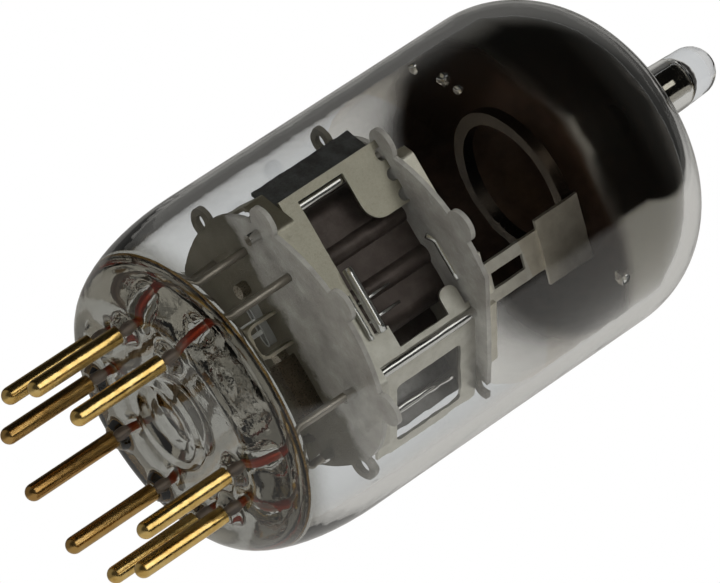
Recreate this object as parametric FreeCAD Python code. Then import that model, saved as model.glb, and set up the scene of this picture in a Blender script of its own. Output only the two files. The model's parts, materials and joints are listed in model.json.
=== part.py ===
import FreeCAD, Part
import math
import os

# Miniature nine-pin vacuum tube, a planar radio-frequency triode with gold-plated pins.
# Millimetres. +Z runs up the tube's axis from the pin ends (z = 0) to the exhaust tip.
# The wide gap in the ring of pins faces -Y, which is the front.

V = FreeCAD.Vector

# Pins of the nine-pin miniature base
pin_count = 9
pin_positions_on_ring = 10
pin_ring_radius = 5.945
pin_radius = 0.508
pin_length = 6.73
pin_root_gap = 0.07

# Glass envelope
bulb_wall = 0.9
cage_wall_gap = 0.65
base_flat_radius = 7.256
shoulder_height = 7.415
dome_head_room = 1.63
dome_height = 7.4
dome_corner_radius = 6.6
seal_wall_gain = 0.5
tip_radius = 1.68
tip_end_radius = 1.5
tip_height = 5.83
tip_bore_radius = 0.95
tip_solid_length = 1.7
tip_root_fillet = 0.25

# Pressed glass button that closes the bulb and carries the pins
stem_thickness = 2.6
stem_seam_drop = 1.3
stem_dish_radius = 2.4
stem_dish_depth = 0.3
nib_height = 0.55
nib_radius = 0.85
inner_nib_height = 0.7
inner_nib_radius = 0.6

# Leads between the button and the electrodes
lead_radius = 0.25
lead_rise = 1.2
lead_bend_radius = 0.45
lead_end_run = 0.6

# Mica spacers
mica_thickness = 0.3
lead_space = 5.87
mica_spacing = 8.65
mica_rim_gap = 1.32
mica_ear_count = 8
mica_ear_radius = 0.95
mica_wall_gap = 0.1
mica_ear_start_deg = -8.0
mica_ear_hole_radius = 0.45
mica_rod_land = 0.2
mica_flat_gap = 1.0

# Sheet parts of the electrode cage
sheet = 0.2
tray_height = 1.35
tray_front_y = -5.3
tray_rear_y = 5.6
tray_side_x = 7.7
tray_corner_cut = 3.6
tray_corner_fillet = 0.4
tray_window_half_y = 3.9
tray_window_left_x = -7.4
tray_window_right_x = 4.2
upper_tray_height = 1.3
upper_tray_inset = 0.5

# Support rods, by place in plan
front_right_rod = (3.62, -4.6)
right_rod = (6.85, 0.9)
front_left_rod = (-6.2, -4.1)
rear_left_rod = (-5.4, 4.75)
rear_right_rod = (4.2, 4.75)
rod_radius = 0.31
rod_overhang = 0.7
rod_hole_clearance = 0.05

# Front frame, a nickel sheet with a large window
front_frame_left_x = -7.0
front_rail_height = 1.05
front_post_width = 0.5
front_lobe_width = 3.7
front_lobe_height = 2.75
front_lobe_corner = 1.2
front_tooth_count = 3
front_tooth_radius = 0.36
front_tooth_drop = 0.1
right_post_width = 0.32
right_tab_reach = 1.35
right_tab_height = 1.2
right_tab_drop = 0.25
right_foot_height = 2.0

# Window plate that runs back from the front right rod at 45 degrees
side_plate_angle = 45.0
side_plate_reach = 7.05
side_plate_border = 1.4
side_plate_foot = 1.2
side_plate_head = 1.1
side_plate_far_border = 0.75
side_window_fillet = 0.3
left_shield_reach = 2.45

# Dark screen behind the window, on the rear of the right rod
screen_left = 2.4
screen_right = 1.1

# Rear frame
rear_frame_border = 0.9

# Anode, two blackened halves with flanges
anode_centre_x = -1.6
anode_half_width = 4.1
anode_front_gap = 1.4
anode_wall = 0.25
anode_flange = 1.2
anode_corner_radius = 0.9
anode_bead_radius = 0.6
anode_bead_spacing = 2.6

# Grid and cathode
grid_rod_radius = 0.45
anode_grid_gap = 1.9
grid_wire = 0.1
grid_turn_count = 10
grid_turn_pitch = 0.55
cathode_side_gap = 0.45
grid_cathode_gap = 0.1
cathode_wall = 0.1
cathode_overhang = 0.5
heater_radius = 0.13
heater_leg_spacing = 0.7
heater_top_gap = 1.0
heater_tail = 1.6
heater_leads = (4, 5)

# Straps under the lower mica
u_strap_width = 2.1
u_strap_drop = 2.1
u_strap_depth = 1.0
u_strap_sheet = 0.18
u_strap_x = -1.0
u_strap_y = -1.15
u_strap_bend = 0.6
grid_strap_left_x = 0.6
grid_strap_right_x = 4.0
grid_strap_height = 1.5
grid_strap_y = -0.9

# Getter and its holder
getter_face_angle = -62.0
getter_face_offset = 4.75
getter_post_left = -0.4
getter_post_right = 2.2
getter_post_height = 6.55
getter_slot_width = 1.05
getter_slot_height = 2.3
getter_slot_rise = 1.9
getter_foot_left = -1.3
getter_foot_right = 2.5
getter_foot_height = 0.45
getter_plate_left = -1.1
getter_plate_right = 3.2
getter_plate_height = 3.2
getter_plate_lap = 1.1
getter_ring_radius = 4.3
getter_ring_width = 0.8
getter_ring_height = 0.7
getter_ring_wall = 0.15
getter_arm_rise = 1.3
getter_ring_centre = (-0.3, 0.0)
getter_arm_width = 0.9
getter_flash_thickness = 0.04
getter_flash_skirt = 3.0

# Margin used to pick edges by their place
pick_margin = 0.01

# Derived heights, from the pin ends up
base_z = pin_length
pin_top_z = base_z - nib_height - pin_root_gap
stem_top_z = base_z + stem_thickness
lower_mica_z = stem_top_z + lead_space
upper_mica_z = lower_mica_z + mica_spacing
mica_gap_bottom = lower_mica_z + mica_thickness
mica_gap_top = upper_mica_z
tray_top_z = mica_gap_bottom + tray_height
upper_mica_top = upper_mica_z + mica_thickness
upper_tray_floor = upper_mica_top + sheet
rod_foot_z = lower_mica_z - rod_overhang
heater_foot_z = lower_mica_z - heater_tail
getter_post_top = upper_tray_floor + getter_post_height
getter_ring_z = getter_post_top + getter_arm_rise
cylinder_top_z = getter_ring_z + getter_ring_height + dome_head_room
dome_top_z = cylinder_top_z + dome_height
getter_flash_z = cylinder_top_z - getter_flash_skirt
shoulder_top_z = base_z + shoulder_height

# Derived plan sizes
rods = [front_right_rod, right_rod, front_left_rod, rear_left_rod, rear_right_rod]
front_frame_y = front_right_rod[1]
anode_depth = -front_frame_y - anode_front_gap
grid_rod_spacing = 2.0 * (anode_half_width - anode_grid_gap)
cathode_width = grid_rod_spacing - 2.0 * (grid_rod_radius + cathode_side_gap)
cathode_thickness = 2.0 * (grid_rod_radius - grid_wire - grid_cathode_gap)


def tray_outline(inset):
    """Corner-cut rectangle, as plan points."""
    front = tray_front_y + inset
    rear = tray_rear_y - inset
    side = tray_side_x - inset
    cut = tray_corner_cut
    left_cut = cut / 2.0
    return [(-side + left_cut, front), (side - cut, front), (side, front + cut), (side, rear - cut),
            (side - cut, rear), (-side + cut, rear), (-side, rear - cut), (-side, front + left_cut)]


def along(place, reach, degrees):
    """Plan point at a distance and direction from another."""
    angle = math.radians(degrees)
    return place[0] + reach * math.cos(angle), place[1] + reach * math.sin(angle)


def cage_reach():
    """Distance from the axis to the outermost sheet, or to the rim that the rods need."""
    corners = tray_outline(0.0)
    corners.append(along(front_right_rod, side_plate_reach, side_plate_angle))
    corners.append(along(front_left_rod, left_shield_reach, 180.0 - side_plate_angle))
    corners.append((anode_centre_x - anode_half_width - anode_flange, 0.0))
    sheets = max(math.hypot(x, y) for x, y in corners)
    rims = max(math.hypot(x, y) for x, y in rods) + rod_radius + mica_rod_land
    return max(sheets, rims + mica_rim_gap - cage_wall_gap)


bulb_inner_radius = cage_reach() + cage_wall_gap
bulb_radius = bulb_inner_radius + bulb_wall
mica_disc_radius = bulb_inner_radius - mica_rim_gap
mica_ear_centre = bulb_inner_radius - mica_wall_gap - mica_ear_radius


def pin_place(number):
    """Plan position of a pin, counted from the gap, anticlockwise seen from above."""
    step = 360.0 / pin_positions_on_ring
    angle = math.radians(-90.0 + step * number)
    return pin_ring_radius * math.cos(angle), pin_ring_radius * math.sin(angle)


def line(a, b):
    return Part.LineSegment(a, b).toShape()


def arc(a, middle, b):
    return Part.Arc(a, middle, b).toShape()


def ellipse_arc(centre, radial, axial, start, end):
    """Arc of an ellipse in the XZ plane, angles in degrees from +X towards +Z."""
    if axial > radial:
        curve = Part.Ellipse(centre + V(0, 0, axial), centre + V(radial, 0, 0), centre)
    else:
        curve = Part.Ellipse(centre + V(radial, 0, 0), centre + V(0, 0, axial), centre)
    ends = []
    for degrees in (start, end):
        angle = math.radians(degrees)
        offset = V(radial * math.cos(angle), 0, axial * math.sin(angle))
        ends.append(curve.parameter(centre + offset))
    return curve.toShape(min(ends), max(ends))


def revolved(edges):
    wire = Part.Wire(Part.__sortEdges__(edges))
    return Part.Face(wire).revolve(V(0, 0, 0), V(0, 0, 1), 360)


def rod(x, y, z0, z1, radius):
    return Part.makeCylinder(radius, z1 - z0, V(x, y, z0))


def block(x0, x1, y0, y1, z0, z1):
    return Part.makeBox(x1 - x0, y1 - y0, z1 - z0, V(x0, y0, z0))


def extruded(points, z0, height):
    wire = Part.makePolygon([V(x, y, z0) for x, y in points + points[:1]])
    return Part.Face(wire).extrude(V(0, 0, height))


def vertical_edges(shape):
    found = []
    for edge in shape.Edges:
        ends = edge.Vertexes
        if len(ends) == 2 and abs(ends[0].Z - ends[1].Z) > 0.9 * edge.Length:
            found.append(edge)
    return found


def standing(shape, origin, angle):
    """Turn a sheet drawn in the XZ plane about the vertical through its origin."""
    turned = shape.copy()
    turned.rotate(V(0, 0, 0), V(0, 0, 1), angle)
    turned.translate(V(origin[0], origin[1], 0))
    return turned


def bent_wire(points, radius, bend):
    """Round wire along straight runs joined by tangent arcs."""
    edges = []
    start = points[0]
    for before, corner, after in zip(points, points[1:], points[2:]):
        into = (corner - before).normalize()
        out = (after - corner).normalize()
        turn = into.getAngle(out)
        if turn < 0.01:
            continue
        setback = bend * math.tan(turn / 2.0)
        first = corner - into * setback
        last = corner + out * setback
        inward = (out - into).normalize()
        middle = corner + inward * (bend / math.cos(turn / 2.0) - bend)
        edges.append(line(start, first))
        edges.append(arc(first, middle, last))
        start = last
    edges.append(line(start, points[-1]))
    path = Part.Wire(edges)
    heading = (points[1] - points[0]).normalize()
    section = Part.Wire(Part.Circle(points[0], heading, radius).toShape())
    return path.makePipeShell([section], True, False)


def dome_arcs(offset):
    """Corner and crown arcs of the dome, moved inwards by offset, and the crown's height."""
    corner_centre = V(bulb_radius - dome_corner_radius, 0, cylinder_top_z)
    reach = corner_centre.x
    rise = dome_height
    corner = dome_corner_radius
    crown_radius = (reach ** 2 + rise ** 2 - corner ** 2) / (2.0 * (rise - corner))
    crown_centre = V(0, 0, dome_top_z - crown_radius)
    return corner_centre, crown_centre, corner - offset, crown_radius - offset


def dome_edges(offset, end_radius):
    """Edges from the cylinder's top over the dome to a circle of end_radius."""
    corner_centre, crown_centre, corner, crown = dome_arcs(offset)
    start = corner_centre + V(corner, 0, 0)
    away = (corner_centre - crown_centre).normalize()
    joint = corner_centre + away * corner
    half = (V(1, 0, 0) + away).normalize()
    end = V(end_radius, 0, crown_centre.z + math.sqrt(crown ** 2 - end_radius ** 2))
    mean = ((joint - crown_centre).normalize() + (end - crown_centre).normalize()).normalize()
    corner_edge = arc(start, corner_centre + half * corner, joint)
    crown_edge = arc(joint, crown_centre + mean * crown, end)
    return [corner_edge, crown_edge], start, end


def seam_points():
    """Outer and inner circles where the bulb is sealed to the button."""
    centre = V(base_flat_radius, 0, shoulder_top_z)
    outer_z = stem_top_z - stem_seam_drop
    outer = ellipse_point(centre, bulb_radius - base_flat_radius, shoulder_height, outer_z)
    inner_axial = shoulder_height - seal_wall_gain
    inner = ellipse_point(centre, bulb_inner_radius - base_flat_radius, inner_axial, stem_top_z)
    return outer, inner


def ellipse_point(centre, radial, axial, z):
    share = (centre.z - z) / axial
    return V(centre.x + radial * math.sqrt(1.0 - share ** 2), 0, z)


def ellipse_degrees(centre, radial, axial, z):
    return math.degrees(math.asin((z - centre.z) / axial))


def make_bulb():
    centre = V(base_flat_radius, 0, shoulder_top_z)
    outer_seam, inner_seam = seam_points()
    radial = bulb_radius - base_flat_radius
    inner_radial = bulb_inner_radius - base_flat_radius
    inner_axial = shoulder_height - seal_wall_gain
    start = ellipse_degrees(centre, radial, shoulder_height, outer_seam.z)
    inner_start = ellipse_degrees(centre, inner_radial, inner_axial, inner_seam.z)
    outer_dome, outer_top, tip_root = dome_edges(0.0, tip_radius)
    inner_dome, inner_top, bore_root = dome_edges(bulb_wall, tip_bore_radius)
    tip_z = dome_top_z + tip_height
    tip_neck = V(tip_end_radius, 0, tip_z - tip_end_radius)
    tip_top = V(0, 0, tip_z)
    tip_middle = tip_neck + V(-tip_end_radius * (1 - math.sqrt(0.5)), 0, tip_end_radius * math.sqrt(0.5))
    bore_top = V(0, 0, tip_z - tip_solid_length)
    bore_neck = V(tip_bore_radius, 0, bore_top.z - tip_bore_radius)
    bore_middle = bore_neck + V(-tip_bore_radius * (1 - math.sqrt(0.5)), 0,
                                tip_bore_radius * math.sqrt(0.5))
    edges = [
        line(inner_seam, outer_seam),
        ellipse_arc(centre, radial, shoulder_height, start, 0.0),
        line(centre + V(radial, 0, 0), outer_top),
        outer_dome[0],
        outer_dome[1],
        line(tip_root, tip_neck),
        arc(tip_neck, tip_middle, tip_top),
        line(tip_top, bore_top),
        arc(bore_top, bore_middle, bore_neck),
        line(bore_neck, bore_root),
        inner_dome[1],
        inner_dome[0],
        line(inner_top, centre + V(inner_radial, 0, 0)),
        ellipse_arc(centre, inner_radial, inner_axial, inner_start, 0.0),
    ]
    bulb = revolved(edges)
    root = [e for e in bulb.Edges
            if abs(e.BoundBox.XMax - tip_radius) < pick_margin and e.BoundBox.ZLength < pick_margin
            and abs(e.BoundBox.ZMax - tip_root.z) < pick_margin]
    return bulb.makeFillet(tip_root_fillet, root)


def make_stem():
    centre = V(base_flat_radius, 0, shoulder_top_z)
    outer_seam, inner_seam = seam_points()
    radial = bulb_radius - base_flat_radius
    end = ellipse_degrees(centre, radial, shoulder_height, outer_seam.z)
    dish_bottom = V(0, 0, base_z + stem_dish_depth)
    dish_edge = V(stem_dish_radius, 0, base_z)
    dish_middle = V(stem_dish_radius * 0.55, 0, base_z + stem_dish_depth * 0.72)
    edges = [
        arc(dish_bottom, dish_middle, dish_edge),
        line(dish_edge, V(base_flat_radius, 0, base_z)),
        ellipse_arc(centre, radial, shoulder_height, -90.0, end),
        line(outer_seam, inner_seam),
        line(inner_seam, V(0, 0, stem_top_z)),
        line(V(0, 0, stem_top_z), dish_bottom),
    ]
    button = revolved(edges)
    nibs = []
    holes = []
    for number in range(1, pin_count + 1):
        x, y = pin_place(number)
        nibs.append(rod(x, y, base_z - nib_height, stem_top_z, nib_radius))
        nibs.append(rod(x, y, stem_top_z, stem_top_z + inner_nib_height, inner_nib_radius))
        holes.append(rod(x, y, base_z - nib_height, stem_top_z + inner_nib_height, lead_radius))
    return button.fuse(nibs).cut(Part.makeCompound(holes)).removeSplitter()


def make_pin(number):
    """Pin with a rounded end, butted to its lead just below the glass."""
    x, y = pin_place(number)
    middle = pin_radius * (1 - math.sqrt(0.5))
    edges = [
        arc(V(0, 0, 0), V(pin_radius * math.sqrt(0.5), 0, middle), V(pin_radius, 0, pin_radius)),
        line(V(pin_radius, 0, pin_radius), V(pin_radius, 0, pin_top_z)),
        line(V(pin_radius, 0, pin_top_z), V(0, 0, pin_top_z)),
        line(V(0, 0, pin_top_z), V(0, 0, 0)),
    ]
    pin = revolved(edges)
    pin.translate(V(x, y, 0))
    return pin


def heater_legs():
    half = heater_leg_spacing / 2.0
    return [(anode_centre_x + half, 0.0), (anode_centre_x - half, 0.0)]


def lead_targets():
    """Plan places of the leads that bend; the others run straight up."""
    legs = heater_legs()
    return {2: right_rod, 4: legs[0], 5: legs[1]}


def make_lead(number):
    x, y = pin_place(number)
    bottom = pin_top_z
    target = lead_targets().get(number)
    if target is None:
        return rod(x, y, bottom, lead_top(number), lead_radius)
    low = stem_top_z + inner_nib_height + lead_rise
    end_z = heater_foot_z if number in heater_leads else rod_foot_z
    points = [V(x, y, bottom), V(x, y, low), V(target[0], target[1], end_z - lead_end_run),
              V(target[0], target[1], end_z)]
    return bent_wire(points, lead_radius, lead_bend_radius)


def lead_top(number):
    """A straight lead ends under the support rod above it, or else under the lower mica."""
    x, y = pin_place(number)
    nearest = min(math.hypot(x - place[0], y - place[1]) for place in rods)
    return rod_foot_z if nearest < rod_radius + lead_radius else lower_mica_z


def mica_blank(z):
    disc = rod(0, 0, z, z + mica_thickness, mica_disc_radius)
    ears = []
    holes = []
    for index in range(mica_ear_count):
        angle = math.radians(mica_ear_start_deg + 360.0 / mica_ear_count * index)
        x = mica_ear_centre * math.cos(angle)
        y = mica_ear_centre * math.sin(angle)
        ears.append(rod(x, y, z, z + mica_thickness, mica_ear_radius))
        if index % (mica_ear_count // 2) == 0:
            holes.append(rod(x, y, z, z + mica_thickness, mica_ear_hole_radius))
    return disc.fuse(ears).removeSplitter().cut(Part.makeCompound(holes))


def rod_cutters(z0, z1, clearance):
    return [rod(x, y, z0, z1, rod_radius + clearance) for x, y in rods]


def racetrack(width, thickness, z0, z1):
    """Flat oval bar about the electrode centre."""
    half = width / 2.0 - thickness / 2.0
    body = block(anode_centre_x - half, anode_centre_x + half,
                 -thickness / 2.0, thickness / 2.0, z0, z1)
    ends = [rod(anode_centre_x + side * half, 0, z0, z1, thickness / 2.0) for side in (-1, 1)]
    return body.fuse(ends).removeSplitter()


def grid_rod_places():
    half = grid_rod_spacing / 2.0
    return [(anode_centre_x - half, 0.0), (anode_centre_x + half, 0.0)]


def mica_flat(z):
    """Block that cuts the upper mica straight, in front of the window plate and parallel to it."""
    offset = math.hypot(*front_right_rod) + mica_flat_gap
    flat = block(-bulb_radius, bulb_radius, -2.0 * bulb_radius, -offset, z, z + mica_thickness)
    flat.rotate(V(0, 0, 0), V(0, 0, 1), side_plate_angle)
    return flat


def make_mica(z):
    cutters = rod_cutters(z, z + mica_thickness, 0.0)
    cutters.append(racetrack(cathode_width, cathode_thickness, z, z + mica_thickness))
    for x, y in grid_rod_places():
        cutters.append(rod(x, y, z, z + mica_thickness, grid_rod_radius))
    return mica_blank(z).cut(Part.makeCompound(cutters))


def tray_window(z0, z1):
    window = block(tray_window_left_x, tray_window_right_x, -tray_window_half_y, tray_window_half_y,
                   z0, z1)
    return window.makeFillet(tray_corner_fillet, vertical_edges(window))


def make_lower_tray():
    outer = extruded(tray_outline(0.0), mica_gap_bottom, tray_height)
    outer = outer.makeFillet(tray_corner_fillet, vertical_edges(outer))
    inner = extruded(tray_outline(sheet), mica_gap_bottom, tray_height - sheet)
    inner = inner.makeFillet(tray_corner_fillet - sheet, vertical_edges(inner))
    cutters = [inner, tray_window(mica_gap_bottom, tray_top_z)]
    cutters += rod_cutters(mica_gap_bottom, tray_top_z, rod_hole_clearance)
    return outer.cut(Part.makeCompound(cutters))


def make_upper_tray():
    top = upper_mica_top + upper_tray_height
    outer = extruded(tray_outline(upper_tray_inset), upper_mica_top, upper_tray_height)
    outer = outer.makeFillet(tray_corner_fillet, vertical_edges(outer))
    inner = extruded(tray_outline(upper_tray_inset + sheet), upper_mica_top + sheet, upper_tray_height)
    inner = inner.makeFillet(tray_corner_fillet - sheet, vertical_edges(inner))
    cutters = [inner, tray_window(upper_mica_top, top)]
    cutters += rod_cutters(upper_mica_top, top, rod_hole_clearance)
    return outer.cut(Part.makeCompound(cutters))


def make_rod(place):
    return rod(place[0], place[1], rod_foot_z, upper_mica_top + rod_overhang, rod_radius)


def make_front_frame():
    """Front sheet: bottom rail, left post with a toothed lobe, right post with two tabs."""
    left = front_frame_left_x
    right = front_right_rod[0] - rod_radius
    rear = front_frame_y + sheet / 2.0
    front = rear - sheet
    rail = block(left, right, front, rear, tray_top_z, tray_top_z + front_rail_height)
    left_post = block(left, left + front_post_width, front, rear, tray_top_z, mica_gap_top)
    lobe_right = left + front_lobe_width
    lobe = block(left, lobe_right, front, rear, mica_gap_top - front_lobe_height, mica_gap_top)
    lobe = lobe.makeFillet(front_lobe_corner, [e for e in lobe.Edges if e.BoundBox.XMin > lobe_right - pick_margin
                                               and e.BoundBox.ZMax < mica_gap_top - pick_margin])
    right_post = block(right - right_post_width, right, front, rear, tray_top_z, mica_gap_top)
    tab_left = right - right_post_width - right_tab_reach
    tab_top = mica_gap_top - right_tab_drop
    tab = block(tab_left, right, front, rear, tab_top - right_tab_height, tab_top)
    tab = tab.makeFillet(right_tab_height * 0.42, [e for e in tab.Edges if e.BoundBox.XMax < tab_left + pick_margin
                                                   and e.BoundBox.YLength > sheet * 0.9])
    foot = block(tab_left, right, front, rear, tray_top_z, tray_top_z + right_foot_height)
    frame = rail.fuse([left_post, lobe, right_post, tab, foot]).removeSplitter()
    teeth = []
    pitch = front_lobe_width / front_tooth_count
    for index in range(front_tooth_count):
        x = left + pitch * (index + 0.62)
        notch = Part.makeCylinder(front_tooth_radius, sheet, V(x, front, mica_gap_top - front_tooth_drop),
                                  V(0, 1, 0))
        teeth.append(notch)
    return frame.cut(Part.makeCompound(teeth))


def side_sheet(reach, height):
    """Sheet in the XZ plane that starts just beyond the rod at its origin."""
    start = rod_radius
    return block(start, reach, -sheet / 2.0, sheet / 2.0, tray_top_z, tray_top_z + height)


def make_window_plate():
    height = mica_gap_top - tray_top_z
    plate = side_sheet(side_plate_reach, height)
    window = block(rod_radius + side_plate_border, side_plate_reach - side_plate_far_border,
                   -sheet, sheet, tray_top_z + side_plate_foot, mica_gap_top - side_plate_head)
    corners = [e for e in window.Edges if e.BoundBox.YLength > sheet]
    window = window.makeFillet(side_window_fillet, corners)
    plate = standing(plate.cut(window), front_right_rod, side_plate_angle)
    return plate


def make_side_screen():
    x, y = right_rod
    front = y + rod_radius
    return block(x - screen_left, x + screen_right, front, front + sheet, tray_top_z, mica_gap_top)


def make_left_shield():
    height = mica_gap_top - tray_top_z
    return standing(side_sheet(left_shield_reach, height), front_left_rod, 180.0 - side_plate_angle)


def make_rear_frame():
    """Plain rear sheet with one window, held by the two rear rods."""
    y = rear_left_rod[1]
    left = rear_left_rod[0] + rod_radius
    right = rear_right_rod[0] - rod_radius
    sheet_block = block(left, right, y - sheet / 2.0, y + sheet / 2.0, tray_top_z, mica_gap_top)
    border = rear_frame_border
    window = block(left + border, right - border, y - sheet, y + sheet, tray_top_z + border,
                   mica_gap_top - border)
    corners = [e for e in window.Edges if e.BoundBox.YLength > sheet]
    return sheet_block.cut(window.makeFillet(side_window_fillet, corners))


def make_anode_half(side):
    """One anode half: a channel with rounded corners, two stiffening beads and flat flanges."""
    left = anode_centre_x - anode_half_width
    right = anode_centre_x + anode_half_width
    z0 = mica_gap_bottom
    height = mica_gap_top - z0
    outer = block(left, right, -anode_depth, anode_depth, z0, z0 + height)
    outer = outer.makeFillet(anode_corner_radius, vertical_edges(outer))
    inner = block(left + anode_wall, right - anode_wall, -anode_depth + anode_wall,
                  anode_depth - anode_wall, z0, z0 + height)
    inner = inner.makeFillet(anode_corner_radius - anode_wall, vertical_edges(inner))
    beads = []
    hollows = []
    for offset in (-anode_bead_spacing / 2.0, anode_bead_spacing / 2.0):
        x = anode_centre_x + offset
        beads.append(rod(x, -anode_depth + anode_wall, z0, z0 + height, anode_bead_radius))
        hollows.append(rod(x, -anode_depth + anode_wall, z0, z0 + height, anode_bead_radius - anode_wall))
    flanges = block(left - anode_flange, right + anode_flange, -anode_wall, 0, z0, z0 + height)
    shell = outer.fuse(beads + [flanges]).cut(Part.makeCompound([inner] + hollows))
    half = shell.cut(block(left, right, 0, anode_depth, z0, z0 + height)).removeSplitter()
    if side > 0:
        half = half.mirror(V(0, 0, 0), V(0, 1, 0))
    return half


def make_grid():
    """Frame grid: two side rods, and turns of wire let into their front and rear."""
    z0 = lower_mica_z - cathode_overhang
    z1 = upper_mica_top + cathode_overhang
    (left, y), (right, y) = grid_rod_places()
    side_rods = [rod(x, y, z0, z1, grid_rod_radius) for x in (left, right)]
    middle = (mica_gap_bottom + mica_gap_top) / 2.0
    first = middle - grid_turn_pitch * (grid_turn_count - 1) / 2.0
    wires = []
    for index in range(grid_turn_count):
        z = first + grid_turn_pitch * index
        for face in (-grid_rod_radius, grid_rod_radius - grid_wire):
            wires.append(block(left, right, face, face + grid_wire, z, z + grid_wire))
    return side_rods[0].fuse([side_rods[1]] + wires).removeSplitter()


def make_cathode():
    z0 = lower_mica_z - cathode_overhang
    z1 = upper_mica_top + cathode_overhang
    outer = racetrack(cathode_width, cathode_thickness, z0, z1)
    inner = racetrack(cathode_width - 2 * cathode_wall, cathode_thickness - 2 * cathode_wall, z0, z1)
    return outer.cut(inner)


def make_heater():
    """Hairpin filament inside the cathode sleeve, its legs meeting two leads below."""
    low = heater_foot_z
    high = upper_mica_z - heater_top_gap
    (x1, y1), (x0, y0) = heater_legs()
    points = [V(x0, y0, low), V(x0, y0, high), V(x1, y1, high), V(x1, y1, low)]
    return bent_wire(points, heater_radius, heater_leg_spacing * 0.45)


def make_u_strap():
    """Cathode strap: a strip bent to a U that hangs from the lower mica."""
    half = u_strap_width / 2.0
    y0 = u_strap_y - u_strap_depth / 2.0
    low = lower_mica_z - u_strap_drop
    outer = Part.makeBox(u_strap_width, u_strap_depth, u_strap_drop, V(u_strap_x - half, y0, low))
    outer = outer.makeFillet(u_strap_bend, bottom_corners(outer, low))
    inner = Part.makeBox(u_strap_width - 2 * u_strap_sheet, u_strap_depth, u_strap_drop,
                         V(u_strap_x - half + u_strap_sheet, y0, low + u_strap_sheet))
    inner = inner.makeFillet(u_strap_bend - u_strap_sheet, bottom_corners(inner, low + u_strap_sheet))
    return outer.cut(inner)


def bottom_corners(shape, z):
    return [e for e in shape.Edges if e.BoundBox.YLength > 0.5 * u_strap_depth
            and e.BoundBox.ZMax < z + pick_margin]


def make_grid_strap():
    """Dark strip under the lower mica with a turned foot."""
    low = lower_mica_z - grid_strap_height
    web = block(grid_strap_left_x, grid_strap_right_x, grid_strap_y - sheet, grid_strap_y, low, lower_mica_z)
    foot = block(grid_strap_left_x, grid_strap_right_x, grid_strap_y - 4 * sheet, grid_strap_y, low,
                 low + sheet)
    return web.fuse(foot).removeSplitter()


def getter_frame(shape):
    """From getter coordinates (width along X, face towards -Y) to the tube."""
    turned = shape.copy()
    turned.translate(V(0, -getter_face_offset, 0))
    turned.rotate(V(0, 0, 0), V(0, 0, 1), getter_face_angle + 90.0)
    return turned


def make_getter_post():
    """Upright strip with a slot, standing on the upper tray's floor, its wings on the lip."""
    z0 = upper_tray_floor
    lip_z = upper_mica_top + upper_tray_height
    post = block(getter_post_left, getter_post_right, 0, sheet, z0, z0 + getter_post_height)
    foot = block(getter_foot_left, getter_foot_right, 0, sheet, lip_z, lip_z + getter_foot_height)
    middle = (getter_post_left + getter_post_right) / 2.0
    slot = block(middle - getter_slot_width / 2.0, middle + getter_slot_width / 2.0, -sheet, 2 * sheet,
                 z0 + getter_slot_rise, z0 + getter_slot_rise + getter_slot_height)
    return getter_frame(post.fuse(foot).removeSplitter().cut(slot))


def getter_plate_bottom():
    return getter_post_top - getter_plate_lap


def make_getter_plate():
    """Rectangular plate welded to the front of the post."""
    z0 = getter_plate_bottom()
    plate = block(getter_plate_left, getter_plate_right, -sheet, 0, z0, z0 + getter_plate_height)
    return getter_frame(plate)


def make_getter_arm():
    """Strip from the post's top back to the ring."""
    z1 = getter_post_top
    middle = (getter_post_left + getter_post_right) / 2.0
    riser = block(middle - getter_arm_width / 2.0, middle + getter_arm_width / 2.0, 0, sheet,
                  z1, getter_ring_z)
    flat = block(middle - getter_arm_width / 2.0, middle + getter_arm_width / 2.0, 0, getter_arm_reach(),
                 getter_ring_z - sheet, getter_ring_z)
    return getter_frame(riser.fuse(flat).removeSplitter())


def getter_arm_reach():
    """Length of the arm from the post's face to just under the ring's channel."""
    angle = math.radians(getter_face_angle)
    along = getter_ring_centre[0] * math.cos(angle) + getter_ring_centre[1] * math.sin(angle)
    return getter_face_offset - along - getter_ring_radius + getter_ring_width


def make_getter_ring():
    """Ring channel that opens towards the dome."""
    inner = getter_ring_radius - getter_ring_width / 2.0
    outer = getter_ring_radius + getter_ring_width / 2.0
    wall = getter_ring_wall
    z0 = getter_ring_z
    z1 = z0 + getter_ring_height
    points = [(inner, z0), (outer, z0), (outer, z1), (outer - wall, z1), (outer - wall, z0 + wall),
              (inner + wall, z0 + wall), (inner + wall, z1), (inner, z1)]
    wire = Part.makePolygon([V(r, 0, z) for r, z in points + points[:1]])
    ring = Part.Face(wire).revolve(V(0, 0, 0), V(0, 0, 1), 360)
    ring.translate(V(getter_ring_centre[0], getter_ring_centre[1], 0))
    return ring


def make_getter_flash():
    """Thin metal mirror on the inside of the dome."""
    outer_dome, outer_top, outer_end = dome_edges(bulb_wall, tip_bore_radius)
    inner_dome, inner_top, inner_end = dome_edges(bulb_wall + getter_flash_thickness, tip_bore_radius)
    outer_low = V(outer_top.x, 0, getter_flash_z)
    inner_low = V(inner_top.x, 0, getter_flash_z)
    edges = [line(outer_low, outer_top), outer_dome[0], outer_dome[1], line(outer_end, inner_end),
             inner_dome[1], inner_dome[0], line(inner_top, inner_low), line(inner_low, outer_low)]
    return revolved(edges)


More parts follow.
